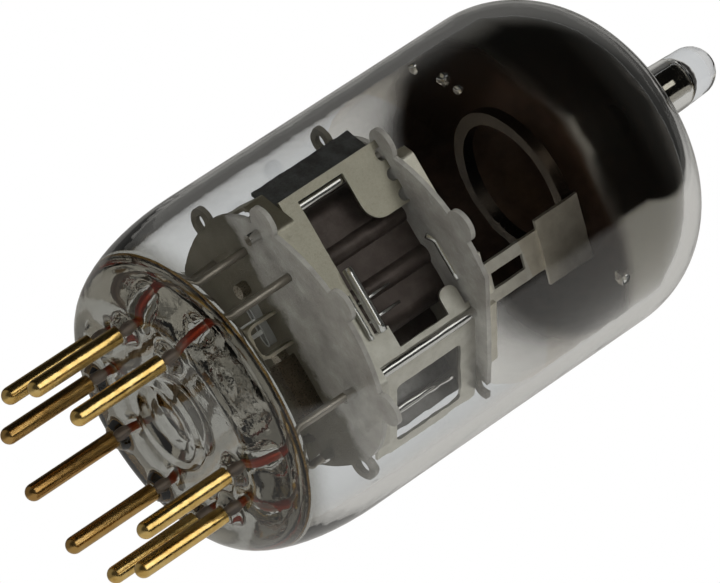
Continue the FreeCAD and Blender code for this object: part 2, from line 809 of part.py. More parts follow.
def all_nodes():
    nodes = {"glass_bulb": make_bulb(), "button_stem": make_stem()}
    for number in range(1, pin_count + 1):
        nodes["pin_%d" % number] = make_pin(number)
        nodes["lead_%d" % number] = make_lead(number)
    nodes["lower_mica"] = make_mica(lower_mica_z)
    nodes["upper_mica"] = make_mica(upper_mica_z).cut(mica_flat(upper_mica_z))
    nodes["lower_tray"] = make_lower_tray()
    nodes["upper_tray"] = make_upper_tray()
    for index, place in enumerate(rods):
        nodes["support_rod_%d" % (index + 1)] = make_rod(place)
    nodes["front_frame"] = make_front_frame()
    nodes["window_plate"] = make_window_plate()
    nodes["left_shield"] = make_left_shield()
    nodes["side_screen"] = make_side_screen()
    nodes["rear_frame"] = make_rear_frame()
    nodes["anode_front"] = make_anode_half(-1)
    nodes["anode_rear"] = make_anode_half(1)
    nodes["grid"] = make_grid()
    nodes["cathode_sleeve"] = make_cathode()
    nodes["heater"] = make_heater()
    nodes["cathode_strap"] = make_u_strap()
    nodes["grid_strap"] = make_grid_strap()
    nodes["getter_post"] = make_getter_post()
    nodes["getter_plate"] = make_getter_plate()
    nodes["getter_arm"] = make_getter_arm()
    nodes["getter_ring"] = make_getter_ring()
    nodes["getter_flash"] = make_getter_flash()
    return nodes


def main():
    os.makedirs("parts", exist_ok=True)
    for name, shape in all_nodes().items():
        shape.exportStep(os.path.join("parts", name + ".step"))
        print(name, shape.isValid(), len(shape.Solids), round(shape.Volume, 3))


main()
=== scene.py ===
import json
import math

import bmesh
import bpy
from mathutils import Matrix, Vector, noise


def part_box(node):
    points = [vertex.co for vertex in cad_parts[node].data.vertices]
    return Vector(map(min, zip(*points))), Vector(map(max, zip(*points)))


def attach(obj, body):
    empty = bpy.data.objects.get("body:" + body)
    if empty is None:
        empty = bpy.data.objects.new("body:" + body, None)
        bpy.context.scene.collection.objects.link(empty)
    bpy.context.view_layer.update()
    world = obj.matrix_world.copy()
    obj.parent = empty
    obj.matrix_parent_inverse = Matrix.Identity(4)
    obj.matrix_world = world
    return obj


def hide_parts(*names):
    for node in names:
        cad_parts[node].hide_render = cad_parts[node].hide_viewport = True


# Miniature nine-pin vacuum tube. Blender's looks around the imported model, in metres.

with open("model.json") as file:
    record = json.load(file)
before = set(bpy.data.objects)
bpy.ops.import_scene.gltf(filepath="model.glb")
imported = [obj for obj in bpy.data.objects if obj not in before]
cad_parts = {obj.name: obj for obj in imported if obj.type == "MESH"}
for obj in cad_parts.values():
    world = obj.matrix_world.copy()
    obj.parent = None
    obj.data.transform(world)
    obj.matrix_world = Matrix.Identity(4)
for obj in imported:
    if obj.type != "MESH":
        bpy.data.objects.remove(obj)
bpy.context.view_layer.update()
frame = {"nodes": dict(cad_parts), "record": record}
MM = 0.001

# ---------------------------------------------------------------- sizes, in mm, as in the CAD source
BASE_Z = 6.73
STEM_TOP_Z = 9.33
PIN_RING = 5.945
NIB_H = 0.55
BASE_FLAT_R = 7.256
SHOULDER_H = 7.415
BULB_WALL = 0.9
DOME_CORNER = 6.6
DOME_H = 7.4
SEAL_GAIN = 0.5
TIP_R, TIP_END_R, TIP_BORE_R = 1.68, 1.5, 0.95
TIP_H = 5.83
TIP_SOLID = 1.7
GLASS_SEGMENTS = 192
HAZE_DEPTH = 5.6
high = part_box("glass_bulb")[1]
BULB_R = high.x / MM
TOP_Z = high.z / MM
flash_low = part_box("getter_flash")[0]
INNER_R = BULB_R - BULB_WALL
DOME_Z = TOP_Z - TIP_H
CYL_TOP_Z = DOME_Z - DOME_H


def mm(*xyz):
    return Vector(xyz) * MM


# ---------------------------------------------------------------- node helpers
def new_material(name):
    mat = bpy.data.materials.new(name)
    mat.use_nodes = True
    mat.node_tree.nodes.clear()
    return mat, mat.node_tree


def node(tree, kind, **values):
    n = tree.nodes.new(kind)
    for key, value in values.items():
        setattr(n, key, value)
    return n


def link(tree, a, b):
    tree.links.new(a, b)


def position(tree, scale=1.0):
    coords = node(tree, "ShaderNodeTexCoord")
    mapping = node(tree, "ShaderNodeMapping")
    mapping.inputs["Scale"].default_value = (scale / MM, scale / MM, scale / MM)
    link(tree, coords.outputs["Object"], mapping.inputs["Vector"])
    return mapping.outputs["Vector"]


def noise_tex(tree, vector, scale, detail=3.0, rough=0.55, stretch=None):
    if stretch:
        mapping = node(tree, "ShaderNodeMapping")
        mapping.inputs["Scale"].default_value = stretch
        link(tree, vector, mapping.inputs["Vector"])
        vector = mapping.outputs["Vector"]
    tex = node(tree, "ShaderNodeTexNoise")
    tex.inputs["Scale"].default_value = scale
    tex.inputs["Detail"].default_value = detail
    tex.inputs["Roughness"].default_value = rough
    link(tree, vector, tex.inputs["Vector"])
    return tex.outputs["Fac"]


def ramp(tree, fac, stops):
    r = node(tree, "ShaderNodeValToRGB")
    r.color_ramp.elements[0].position = stops[0][0]
    r.color_ramp.elements[0].color = (*stops[0][1], 1.0)
    r.color_ramp.elements[1].position = stops[-1][0]
    r.color_ramp.elements[1].color = (*stops[-1][1], 1.0)
    for place, colour in stops[1:-1]:
        e = r.color_ramp.elements.new(place)
        e.color = (*colour, 1.0)
    link(tree, fac, r.inputs["Fac"])
    return r.outputs["Color"]


def remap(tree, fac, a, b, c, d, smooth=False):
    m = node(tree, "ShaderNodeMapRange")
    if smooth:
        m.interpolation_type = "SMOOTHSTEP"
    if isinstance(a, (int, float)):
        m.inputs["From Min"].default_value = a
    else:
        link(tree, a, m.inputs["From Min"])
    m.inputs["From Max"].default_value = b
    m.inputs["To Min"].default_value = c
    m.inputs["To Max"].default_value = d
    link(tree, fac, m.inputs["Value"])
    return m.outputs["Result"]


def math_node(tree, operation, a, b=None):
    m = node(tree, "ShaderNodeMath", operation=operation)
    for socket, value in zip(m.inputs, (a, b)):
        if value is None:
            continue
        if isinstance(value, (int, float)):
            socket.default_value = value
        else:
            link(tree, value, socket)
    return m.outputs["Value"]


def bump(tree, height, strength, distance):
    b = node(tree, "ShaderNodeBump")
    b.inputs["Strength"].default_value = strength
    b.inputs["Distance"].default_value = distance
    link(tree, height, b.inputs["Height"])
    return b.outputs["Normal"]


def axes(tree, vector):
    """The X, Y and Z of a vector."""
    split = node(tree, "ShaderNodeSeparateXYZ")
    link(tree, vector, split.inputs[0])
    return split.outputs


def mix_shader(tree, fac, a, b):
    m = node(tree, "ShaderNodeMixShader")
    if isinstance(fac, (int, float)):
        m.inputs["Fac"].default_value = fac
    else:
        link(tree, fac, m.inputs["Fac"])
    link(tree, a, m.inputs[1])
    link(tree, b, m.inputs[2])
    return m.outputs["Shader"]


def clear_shader(tree, colour=(1.0, 1.0, 1.0)):
    s = node(tree, "ShaderNodeBsdfTransparent")
    s.inputs["Color"].default_value = (*colour, 1.0)
    return s.outputs["BSDF"]


def mix_colour(tree, fac, a, b, blend="MIX"):
    m = node(tree, "ShaderNodeMix", data_type="RGBA", blend_type=blend)
    for socket, value in ((m.inputs[0], fac), (m.inputs[6], a), (m.inputs[7], b)):
        if isinstance(value, (int, float)):
            socket.default_value = value
        elif isinstance(value, tuple):
            socket.default_value = (*value, 1.0)
        else:
            link(tree, value, socket)
    return m.outputs[2]


def principled(tree, **values):
    p = node(tree, "ShaderNodeBsdfPrincipled")
    for key, value in values.items():
        socket = p.inputs[key.replace("_", " ")]
        if isinstance(value, (int, float)):
            socket.default_value = value
        elif isinstance(value, tuple):
            socket.default_value = (*value, 1.0)
        else:
            link(tree, value, socket)
    return p


def output(tree, surface):
    out = node(tree, "ShaderNodeOutputMaterial")
    link(tree, surface, out.inputs["Surface"])


def shadow_open(tree, surface, tint):
    """Lets light from lamps and diffuse bounces straight through a clear surface."""
    path = node(tree, "ShaderNodeLightPath")
    through = math_node(tree, "MAXIMUM", path.outputs["Is Shadow Ray"], path.outputs["Is Diffuse Ray"])
    return mix_shader(tree, through, surface, clear_shader(tree, tint))


# ---------------------------------------------------------------- materials
def glass_material():
    """Clear and a little rippled; greyer, swirled and pitted in the button, melted at the tip."""
    mat, t = new_material("glass")
    p = position(t)
    z = axes(t, p)["Z"]
    ripple = math_node(t, "MULTIPLY", noise_tex(t, p, 0.4, 2.0), 0.35)
    swirl = math_node(t, "MULTIPLY", noise_tex(t, p, 0.7, 1.0, 0.5, (1.0, 1.0, 2.0)),
                      remap(t, z, 9.0, 10.6, 0.55, 0.0, True))
    melt = math_node(t, "MULTIPLY", noise_tex(t, p, 1.3, 1.0, 0.5, (1.0, 1.0, 0.7)),
                     remap(t, z, TOP_Z - 2.9, TOP_Z - 2.1, 0.0, 4.0, True))
    pitted = math_node(t, "MULTIPLY", noise_tex(t, p, 2.6, 2.0, 0.6),
                       remap(t, z, 8.8, 9.8, 0.22, 0.0, True))
    height = math_node(t, "ADD", math_node(t, "ADD", ripple, swirl), math_node(t, "ADD", melt, pitted))
    tint = mix_colour(t, remap(t, z, 8.6, 10.6, 0.0, 1.0, True),
                      (0.32, 0.308, 0.262), (0.96, 0.965, 0.96))
    glass = principled(t, Base_Color=tint, Roughness=0.0, IOR=1.5, Transmission_Weight=1.0,
                       Normal=bump(t, height, 0.1, 0.0003))
    output(t, shadow_open(t, glass.outputs["BSDF"], (0.93, 0.94, 0.93)))
    return mat


def metal_material(name, colour, dark, rough, bumpiness=0.1, metallic=1.0, waves=0.1, left=None):
    """Metal stained from colour to dark; left, when given, is painted shade: a darker colour that it takes
    towards -X.
    """
    mat, t = new_material(name)
    p = position(t)
    stain = noise_tex(t, p, 1.2, 4.0, 0.6)
    fine = noise_tex(t, p, 9.0, 3.0, 0.6)
    col = mix_colour(t, remap(t, stain, 0.35, 0.7, 0.0, 1.0), colour, dark)
    # painted shade: darker towards -X
    if left:
        col = mix_colour(t, remap(t, axes(t, p)["X"], -2.0, 2.6, 1.0, 0.0, True), col, left)
    spread = min(1.0, bumpiness * 10.0)
    r = remap(t, fine, 0.3, 0.7, rough * (1 - 0.3 * spread), min(1.0, rough * (1 + 0.4 * spread)))
    crease = noise_tex(t, p, 0.45, 2.0)
    height = math_node(t, "ADD", math_node(t, "MULTIPLY", fine, 0.1 * bumpiness),
                       math_node(t, "MULTIPLY", crease, waves))
    s = principled(t, Base_Color=col, Metallic=metallic, Roughness=r,
                   Normal=bump(t, height, 1.0, 0.0003))
    output(t, s.outputs["BSDF"])
    return mat


def gold_material():
    """Gold plating, with painted shade that browns it towards the rear of the ring of pins."""
    mat, t = new_material("gold_plate")
    p = position(t)
    stain = noise_tex(t, p, 1.1, 5.0, 0.65)
    fine = noise_tex(t, p, 6.0, 4.0, 0.6, (1, 1, 0.35))
    col = ramp(t, stain, [(0.3, (0.58, 0.36, 0.10)), (0.5, (0.78, 0.53, 0.18)),
                          (0.75, (0.90, 0.68, 0.30))])
    # painted shade: the pins turn brown towards the rear of the ring
    col = mix_colour(t, remap(t, axes(t, p)["Y"], 0.5, 6.0, 0.0, 0.75, True), col, (0.34, 0.17, 0.05))
    r = remap(t, fine, 0.3, 0.7, 0.14, 0.28)
    s = principled(t, Base_Color=col, Metallic=1.0, Roughness=r, Normal=bump(t, fine, 0.25, 0.00004))
    output(t, s.outputs["BSDF"])
    return mat


def lead_material():
    """Copper-red where the wire is sealed in glass, nickel above it."""
    mat, t = new_material("lead_wire")
    p = position(t)
    grain = noise_tex(t, p, 5.0, 3.0)
    height = math_node(t, "ADD", axes(t, p)["Z"], remap(t, grain, 0.0, 1.0, -0.4, 0.4))
    upper = remap(t, height, STEM_TOP_Z - 0.1, STEM_TOP_Z + 0.6, 0.0, 1.0, True)
    lower = remap(t, height, BASE_Z + 1.2, BASE_Z + 1.9, 0.0, 1.0, True)
    col = mix_colour(t, lower, (0.40, 0.33, 0.29), (0.44, 0.055, 0.02))
    col = mix_colour(t, upper, col, (0.34, 0.31, 0.27))
    s = principled(t, Base_Color=col, Metallic=0.85, Roughness=0.34, Normal=bump(t, grain, 0.2, 0.00003))
    output(t, s.outputs["BSDF"])
    return mat


def mica_material():
    """Cloudy mica that lets some light through, with painted shade that makes it dull and dark towards the
    rear.
    """
    mat, t = new_material("mica")
    p = position(t)
    cloud = noise_tex(t, p, 0.7, 4.0, 0.6)
    speck = noise_tex(t, p, 5.0, 3.0, 0.7)
    col = ramp(t, cloud, [(0.3, (0.40, 0.375, 0.345)), (0.55, (0.57, 0.545, 0.50)),
                          (0.75, (0.74, 0.72, 0.66))])
    # painted shade: towards the rear the mica is darkened and loses its coat, shine and glow-through
    edge = math_node(t, "ADD", axes(t, p)["Y"], remap(t, cloud, 0.3, 0.7, -0.6, 0.6))
    col = mix_colour(t, remap(t, edge, -2.6, -1.6, 0.0, 0.9, True), col, (0.085, 0.074, 0.05))
    front = remap(t, edge, -2.6, -1.6, 1.0, 0.0, True)
    s = principled(t, Base_Color=col, Roughness=remap(t, speck, 0.3, 0.7, 0.08, 0.3),
                   Coat_Weight=math_node(t, "MULTIPLY", front, 0.6),
                   Specular_IOR_Level=math_node(t, "MULTIPLY", front, 0.5),
                   Normal=bump(t, math_node(t, "ADD", speck, cloud), 0.5, 0.0002))
    trans = node(t, "ShaderNodeBsdfTranslucent")
    trans.inputs["Color"].default_value = (0.55, 0.5, 0.46, 1.0)
    sheet = mix_shader(t, remap(t, front, 0.0, 1.0, 0.04, 0.25), s.outputs["BSDF"], trans.outputs["BSDF"])
    output(t, mix_shader(t, 0.12, sheet, clear_shader(t, (0.8, 0.77, 0.74))))
    return mat


def getter_mirror_material():
    """Dark mirror, sooty on its inner side, that fades to a haze and then to nothing downwards."""
    mat, t = new_material("getter_mirror")
    p = position(t)
    place = axes(t, p)
    wave = noise_tex(t, p, 0.16, 2.0)
    fine = noise_tex(t, p, 1.4, 4.0, 0.6)
    height = math_node(t, "ADD", place["Z"], remap(t, wave, 0.2, 0.8, -0.6, 0.6))
    haze = remap(t, height, HAZE_LOW + 0.3, FLASH_LOW + 0.2, 0.0, 0.5, True)
    haze = math_node(t, "MULTIPLY", haze, remap(t, place["Y"], -9.0, -4.0, 0.1, 1.0, True))
    soft = remap(t, place["Y"], -4.0, 2.0, FLASH_LOW - 0.3, FLASH_LOW - 2.2, True)
    solid = remap(t, height, soft, FLASH_LOW + 0.9, 0.0, 0.5, True)
    cover = math_node(t, "ADD", haze, solid)
    bright = remap(t, height, FLASH_LOW + 0.2, FLASH_LOW + 1.6, 0.0, 1.0, True)
    col = mix_colour(t, bright, (0.035, 0.018, 0.010), (0.46, 0.44, 0.39))
    rough = remap(t, bright, 0.0, 1.0, 0.35, 0.04)
    mirror = principled(t, Base_Color=col, Metallic=1.0, Roughness=rough,
                        Normal=bump(t, fine, 0.02, 0.0001))
    soot = mix_colour(t, remap(t, fine, 0.35, 0.65, 0.0, 1.0), (0.030, 0.015, 0.009), (0.05, 0.028, 0.018))
    sooty = principled(t, Base_Color=soot, Metallic=0.6, Roughness=0.28)
    side = node(t, "ShaderNodeNewGeometry")
    film = mix_shader(t, side.outputs["Backfacing"], mirror.outputs["BSDF"], sooty.outputs["BSDF"])
    output(t, mix_shader(t, cover, clear_shader(t, (0.96, 0.92, 0.86)), film))
    return mat


FLASH_LOW = flash_low.z / MM
HAZE_LOW = FLASH_LOW - HAZE_DEPTH
METALS = {
    "brown_sheet": dict(colour=(0.13, 0.10, 0.07), dark=(0.07, 0.05, 0.035), rough=0.3),
    "bright_bar": dict(colour=(0.95, 0.96, 0.96), dark=(0.90, 0.92, 0.93), rough=0.2,
                       bumpiness=0.01, waves=0.02),
    # frame_nickel takes a darker colour towards -X as painted shade
    "frame_nickel": dict(colour=(0.66, 0.645, 0.59), dark=(0.56, 0.545, 0.49), rough=0.45,
                         left=(0.42, 0.40, 0.33)),
    "strap_metal": dict(colour=(0.80, 0.76, 0.64), dark=(0.55, 0.51, 0.42), rough=0.35),
    "screen_grey": dict(colour=(0.26, 0.255, 0.25), dark=(0.16, 0.155, 0.15), rough=0.45),
    "ring_metal": dict(colour=(0.085, 0.072, 0.06), dark=(0.05, 0.042, 0.035), rough=0.2),
    # the seal ring's brown is a painted reflection of the gold pins in the seal glass
    "seal_reflection_brown": dict(colour=(0.42, 0.27, 0.10), dark=(0.16, 0.09, 0.03), rough=0.25, metallic=0.6),
    "anode_black": dict(colour=(0.050, 0.036, 0.030), dark=(0.085, 0.066, 0.058), rough=0.42, metallic=0.5),
    "dark_sheet": dict(colour=(0.26, 0.275, 0.30), dark=(0.15, 0.155, 0.165), rough=0.5),
    "polished_rod": dict(colour=(0.93, 0.93, 0.92), dark=(0.82, 0.82, 0.82), rough=0.12,
                         bumpiness=0.01, waves=0.0),
    "grid_wire": dict(colour=(0.55, 0.50, 0.42), dark=(0.40, 0.36, 0.3), rough=0.3),
    "cathode_oxide": dict(colour=(0.34, 0.34, 0.32), dark=(0.28, 0.28, 0.27), rough=0.8, metallic=0.0),
    "heater_wire": dict(colour=(0.78, 0.78, 0.75), dark=(0.6, 0.6, 0.58), rough=0.7, metallic=0.0),
    "getter_metal": dict(colour=(0.80, 0.80, 0.77), dark=(0.64, 0.63, 0.60), rough=0.40),
    "nickel_sheet": dict(colour=(0.74, 0.725, 0.665), dark=(0.60, 0.585, 0.52), rough=0.42),
}
MATERIALS = {name: metal_material(name, **look) for name, look in METALS.items()}
MATERIALS.update(glass=glass_material(), gold_plate=gold_material(), lead_wire=lead_material(),
                 mica=mica_material(), getter_mirror=getter_mirror_material())


def paint(obj, slot):
    obj.data.materials.clear()
    obj.data.materials.append(MATERIALS[slot])


def dress(name, look):
    """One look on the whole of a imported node."""
    slots = frame["nodes"][name].data.materials
    if not slots:
        slots.append(MATERIALS[look])
    for i in range(len(slots)):
        slots[i] = MATERIALS[look]


for part in frame["record"]["subparts"]:
    dress(part["node"], part["material_slot"])

# nodes that differ in tone from the rest of their slot
for name, look in (("grid_strap", "brown_sheet"), ("cathode_strap", "strap_metal"),
                   ("side_screen", "screen_grey"), ("front_frame", "frame_nickel"),
                   ("lower_tray", "frame_nickel"), ("getter_ring", "ring_metal"),
                   ("getter_arm", "ring_metal")):
    dress(name, look)


# ---------------------------------------------------------------- profiles
def arc_points(cx, cz, radius, start, end, count):
    return [(cx + radius * math.cos(math.radians(start + (end - start) * i / count)),
             cz + radius * math.sin(math.radians(start + (end - start) * i / count)))
            for i in range(count + 1)]


def dome_profile(offset, end_radius, count=10):
    """Points from the cylinder's top over the dome in to end_radius, moved inwards by offset."""
    reach = BULB_R - DOME_CORNER
    crown = (reach ** 2 + DOME_H ** 2 - DOME_CORNER ** 2) / (2.0 * (DOME_H - DOME_CORNER))
    crown_z = DOME_Z - crown
    join = math.degrees(math.atan2(CYL_TOP_Z - crown_z, reach))
    corner = arc_points(reach, CYL_TOP_Z, DOME_CORNER - offset, 0.0, join, count * 2)
    r = crown - offset
    end = math.degrees(math.acos(end_radius / r))
    top = arc_points(0.0, crown_z, r, join, end, count)
    return corner + top[1:]


def shoulder_profile(radial, axial, z_low, count=14):
    """Points up the elliptical shoulder from z_low to the cylinder."""
    centre_z = BASE_Z + SHOULDER_H
    start = math.asin(max(-1.0, (z_low - centre_z) / axial))
    points = []
    for i in range(count + 1):
        a = start * (1 - i / count)
        points.append((BASE_FLAT_R + radial * math.cos(a), centre_z + axial * math.sin(a)))
    return points


def lathe(name, profile, segments=128):
    """Surface of revolution of (radius, z) points in mm; a radius of 0 makes a pole."""
    bm = bmesh.new()
    rings = []
    for r, z in profile:
        if r < 1e-6:
            rings.append([bm.verts.new(mm(0, 0, z))])
            continue
        ring = []
        for i in range(segments):
            a = 2 * math.pi * i / segments
            ring.append(bm.verts.new(mm(r * math.cos(a), r * math.sin(a), z)))
        rings.append(ring)
    for a, b in zip(rings, rings[1:]):
        for i in range(segments):
            j = (i + 1) % segments
            if len(a) == 1:
                bm.faces.new((a[0], b[j], b[i]))
            elif len(b) == 1:
                bm.faces.new((a[i], a[j], b[0]))
            else:
                bm.faces.new((a[i], a[j], b[j], b[i]))
    bmesh.ops.recalc_face_normals(bm, faces=bm.faces[:])
    return finish_mesh(name, bm)


def finish_mesh(name, bm, smooth=True):
    mesh = bpy.data.meshes.new(name)
    bm.to_mesh(mesh)
    bm.free()
    for poly in mesh.polygons:
        poly.use_smooth = smooth
    obj = bpy.data.objects.new(name, mesh)
    bpy.context.scene.collection.objects.link(obj)
    return obj


def add_piece(obj, look, *nodes):
    """Dress a piece; a look that the record has no slot for goes without one."""
    paint(obj, look)
    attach(obj, "root")
    if nodes:
        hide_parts(*nodes)
    return obj


# ---------------------------------------------------------------- glass envelope, one closed solid
def outer_profile():
    """Outside of the glass, from the middle of the button up to the end of the tip."""
    radial = BULB_R - BASE_FLAT_R
    dish = ((0.0, 0.3), (0.7, 0.3), (1.0, 0.2), (1.3, 0.24), (1.9, 0.18), (2.3, 0.02), (2.6, 0.0),
            (3.0, 0.07), (3.3, 0.07), (3.6, 0.0))
    points = [(r, BASE_Z + rise) for r, rise in dish]
    points += [(4.6 + (BASE_FLAT_R - 4.6) * i / 18, BASE_Z) for i in range(19)]
    points += shoulder_profile(radial, SHOULDER_H, BASE_Z)[1:]
    z0 = points[-1][1]
    for i in range(1, 9):
        points.append((BULB_R, z0 + (CYL_TOP_Z - z0) * i / 9))
    points += dome_profile(0.0, TIP_R + 0.25)
    root_z = points[-1][1]
    points += [(TIP_R + 0.07, root_z + 0.08), (TIP_R, root_z + 0.27)]
    end_z = TOP_Z - TIP_END_R
    for i in range(1, 5):
        s = i / 5
        points.append((TIP_R + (TIP_END_R - TIP_R) * s, root_z + 0.27 + (end_z - root_z - 0.27) * s))
    points += arc_points(0.0, end_z, TIP_END_R, 0.0, 90.0, 8)
    points[-1] = (0.0, TOP_Z)
    return points


def inner_profile():
    """Inside of the glass, from the middle of the button up to the end of the tip's bore."""
    radial = INNER_R - BASE_FLAT_R
    axial = SHOULDER_H - SEAL_GAIN
    pressed = ((0.0, 0.12), (1.7, 0.12), (2.1, 0.3), (2.5, 0.3), (2.9, 0.0), (3.2, 0.0))
    points = [(r, STEM_TOP_Z + rise) for r, rise in pressed]
    points += [(4.9 + 2.1 * i / 14, STEM_TOP_Z) for i in range(15)]
    points += shoulder_profile(radial, axial, STEM_TOP_Z)
    z0 = points[-1][1]
    for i in range(1, 9):
        points.append((INNER_R, z0 + (CYL_TOP_Z - z0) * i / 9))
    points += dome_profile(BULB_WALL, TIP_BORE_R)
    root_z = points[-1][1]
    bore_z = TOP_Z - TIP_SOLID - TIP_BORE_R
    for i in range(1, 5):
        points.append((TIP_BORE_R, root_z + (bore_z - root_z) * i / 5))
    points += arc_points(0.0, bore_z, TIP_BORE_R, 0.0, 90.0, 6)
    points[-1] = (0.0, TOP_Z - TIP_SOLID)
    return points


def nearest_pin(x, y):
    """Distance in plan from a point to the nearest pin's axis."""
    best = 1e9
    for number in range(1, 10):
        a = math.radians(-90 + 36 * number)
        best = min(best, math.hypot(x - PIN_RING * math.cos(a), y - PIN_RING * math.sin(a)))
    return best


def raise_nibs(obj, plane_z, rise, flat, reach):
    """Raise a smooth glass nib round each pin on the flat at plane_z."""
    for v in obj.data.vertices:
        x, y, z = (c / MM for c in v.co)
        if abs(z - plane_z) > 0.02:
            continue
        s = min(1.0, max(0.0, (reach - nearest_pin(x, y)) / (reach - flat)))
        v.co.z += rise * MM * s * s * (3 - 2 * s)


def make_glass():
    """Bulb and button as one closed solid with an outer and an inner skin."""
    outer = lathe("glass_outer", outer_profile(), GLASS_SEGMENTS)
    inner = lathe("glass_inner", inner_profile(), GLASS_SEGMENTS)
    raise_nibs(outer, BASE_Z, rise=-NIB_H, flat=0.66, reach=1.1)
    raise_nibs(inner, STEM_TOP_Z, rise=0.7, flat=0.34, reach=0.85)
    bm = bmesh.new()
    bm.from_mesh(outer.data)
    start = len(bm.faces)
    bm.from_mesh(inner.data)
    bm.faces.ensure_lookup_table()
    bmesh.ops.reverse_faces(bm, faces=bm.faces[start:])
    for o in (outer, inner):
        bpy.data.objects.remove(o)
    return finish_mesh("glass_envelope", bm)


envelope = add_piece(make_glass(), "glass", "glass_bulb", "button_stem")


def torus(name, radius, z, thickness, segments=128, sides=8):
    bm = bmesh.new()
    rings = []
    for i in range(segments):
        a = 2 * math.pi * i / segments
        ring = []
        for j in range(sides):
            b = 2 * math.pi * j / sides
            r = radius + thickness * math.cos(b)
            ring.append(bm.verts.new(mm(r * math.cos(a), r * math.sin(a), z + thickness * math.sin(b))))
        rings.append(ring)
    for a, b in zip(rings, rings[1:] + rings[:1]):
        for j in range(sides):
            k = (j + 1) % sides
            bm.faces.new((a[j], a[k], b[k], b[j]))
    bmesh.ops.recalc_face_normals(bm, faces=bm.faces[:])
    return finish_mesh(name, bm)


# a ring where the stem is sealed to the bulb; its brown is a painted reflection of the gold pins in the
# seal glass
seal_r = shoulder_profile(INNER_R - BASE_FLAT_R, SHOULDER_H - SEAL_GAIN, STEM_TOP_Z)[0][0]
add_piece(torus("seal_reflection_line", seal_r + 0.02, STEM_TOP_Z - 0.02, 0.07), "seal_reflection_brown")


# ---------------------------------------------------------------- getter mirror
def make_flash():
    """Film just inside the dome, down to where its haze ends."""
    gap = 0.03
    points = [(INNER_R - gap, HAZE_LOW)]
    for i in range(1, 12):
        points.append((INNER_R - gap, HAZE_LOW + (CYL_TOP_Z - HAZE_LOW) * i / 12))
    points += dome_profile(BULB_WALL + gap, TIP_BORE_R + 0.05)
    root_z = points[-1][1]
    bore_z = TOP_Z - TIP_SOLID - TIP_BORE_R
    for i in range(1, 5):
        points.append((TIP_BORE_R - gap, root_z + (bore_z - root_z) * i / 5))
    points += arc_points(0.0, bore_z, TIP_BORE_R - gap, 0.0, 60.0, 5)
    return lathe("getter_film", points)


add_piece(make_flash(), "getter_mirror", "getter_flash")


# ---------------------------------------------------------------- small bars, wires and beads
def wire(name, points, thickness, sides=10):
    """Round wire through points in mm, with capped ends."""
    bm = bmesh.new()
    path = [Vector(q) for q in points]
    rings = []
    for i, q in enumerate(path):
        ahead = (path[min(i + 1, len(path) - 1)] - path[max(i - 1, 0)]).normalized()
        upright = Vector((0.13, 0.21, 0.97)) if abs(ahead.z) < 0.9 else Vector((1, 0, 0))
        across = ahead.cross(upright).normalized()
        other = ahead.cross(across)
        ring = []
        for j in range(sides):
            b = 2 * math.pi * j / sides
            spoke = across * math.cos(b) + other * math.sin(b)
            ring.append(bm.verts.new((q + thickness * spoke) * MM))
        rings.append(ring)
    for a, b in zip(rings, rings[1:]):
        for j in range(sides):
            k = (j + 1) % sides
            bm.faces.new((a[j], a[k], b[k], b[j]))
    bm.faces.new(rings[0])
    bm.faces.new(rings[-1])
    bmesh.ops.recalc_face_normals(bm, faces=bm.faces[:])
    return finish_mesh(name, bm)


def glint_bead(name, place, size):
    """A painted highlight: a faceted lump of bright metal on the bulb's inner wall where only a glint is
    seen.
    """
    bm = bmesh.new()
    bmesh.ops.create_icosphere(bm, subdivisions=2, radius=size * MM)
    for v in bm.verts:
        v.co *= 1.0 + 0.35 * noise.noise(v.co * (2.2 / (size * MM)) + Vector(place))
    out = Vector((place[0], place[1], 0)).normalized()
    centre = out * (INNER_R - size * 0.6) + Vector((0, 0, place[2]))
    bmesh.ops.translate(bm, verts=bm.verts[:], vec=centre * MM)
    return finish_mesh(name, bm, False)


def row(x, length, y, z, steps):
    """Points along X from (x, y, z)."""
    return [(x + length * i / steps, y, z) for i in range(steps + 1)]


rail_low, rail_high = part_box("front_frame")
FRONT_Y = rail_low.y / MM
RAIL_Z = rail_low.z / MM
FRAME_TOP = rail_high.z / MM
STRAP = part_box("cathode_strap")[0] / MM
TOP_BAR_Y = FRONT_Y - 0.25
STAY_Y = FRONT_Y + 0.55

add_piece(wire("rail_bar", row(-2.2, 3.9, FRONT_Y - 0.28, RAIL_Z + 1.42, 8), 0.3), "bright_bar")
add_piece(wire("rail_edge", row(-0.9, 2.7, FRONT_Y - 0.16, RAIL_Z + 0.66, 6), 0.15), "bright_bar")
top_hook = [(-1.3, TOP_BAR_Y, FRAME_TOP - 0.35), (-0.9, TOP_BAR_Y, FRAME_TOP - 0.05)]
add_piece(wire("top_bar", top_hook + row(-0.7, 2.3, TOP_BAR_Y, FRAME_TOP, 6), 0.17), "bright_bar")
for index, x in enumerate((-0.14, 1.0)):
    add_piece(wire("stay_%d" % index, [(x, STAY_Y, RAIL_Z + 1.0), (x, STAY_Y, RAIL_Z + 3.6)], 0.1),
              "bright_bar")

# the U strap's tail, from the strap's lower left corner
TAIL = ((1.1, 0.2, 0.05), (1.8, 0.0, -0.02), (2.3, -0.15, -0.22), (2.65, -0.3, -0.55))
add_piece(wire("strap_tail", [STRAP + Vector(step) for step in TAIL], 0.1), "bright_bar")

# place and size of each lump of metal that stands in for a glint on the bulb, as painted highlight
GLINT_BEADS = (((6.24, -6.69, 31.9), 0.42), ((-8.72, -2.77, 29.2), 0.25),
         ((-7.73, -4.89, 29.35), 0.38), ((-6.94, -5.96, 29.2), 0.27))
for index, (place, size) in enumerate(GLINT_BEADS):
    add_piece(glint_bead("bead_%d" % index, place, size), "bright_bar")

